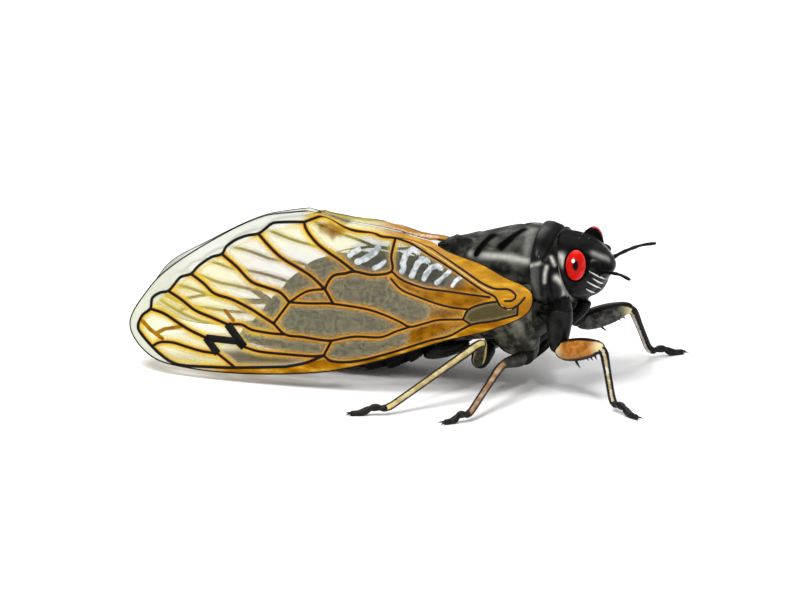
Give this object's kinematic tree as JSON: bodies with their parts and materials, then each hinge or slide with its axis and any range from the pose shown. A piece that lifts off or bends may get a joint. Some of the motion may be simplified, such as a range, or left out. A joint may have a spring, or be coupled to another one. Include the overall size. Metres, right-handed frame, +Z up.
{
  "type": "periodical cicada, standing with folded wings",
  "caption": "Life-size still cicada on its feet: black body, red eyes, clear orange-veined wings folded like a roof, for displays and scenes.",
  "frame": {"origin": "middle of the whole model's length and width, on the floor under its feet", "axes": "+X forward, the way the head faces; +Y to the animal's left; +Z up"},
  "size_m": [0.0449, 0.029, 0.0135],
  "materials": {
    "shell": "glossy black shell, as of an insect's hard skin",
    "eye": "shiny bright red with a dark false pupil",
    "membrane": "clear cream membrane with orange borders along dark veins",
    "leg": "satin orange-brown with dark edges",
    "foot": "satin black"
  },
  "bodies": {
    "root": {"abdomen": "shell", "antenna_left": "shell", "antenna_right": "shell", "coxa_front_left": "shell", "coxa_front_right": "shell", "coxa_hind_left": "shell", "coxa_hind_right": "shell", "coxa_mid_left": "shell", "coxa_mid_right": "shell", "eye_left": "eye", "eye_right": "eye", "femur_front_left": "leg", "femur_front_right": "leg", "femur_hind_left": "leg", "femur_hind_right": "leg", "femur_mid_left": "leg", "femur_mid_right": "leg", "forewing_left": "membrane", "forewing_right": "membrane", "head": "shell", "hindwing_left": "membrane", "hindwing_right": "membrane", "mesonotum": "shell", "operculum_left": "shell", "operculum_right": "shell", "pronotum": "shell", "rostrum": "shell", "tarsus_front_left": "foot", "tarsus_front_right": "foot", "tarsus_hind_left": "foot", "tarsus_hind_right": "foot", "tarsus_mid_left": "foot", "tarsus_mid_right": "foot", "thorax": "shell", "tibia_front_left": "leg", "tibia_front_right": "leg", "tibia_hind_left": "leg", "tibia_hind_right": "leg", "tibia_mid_left": "leg", "tibia_mid_right": "leg"}
  },
  "joints": []
}
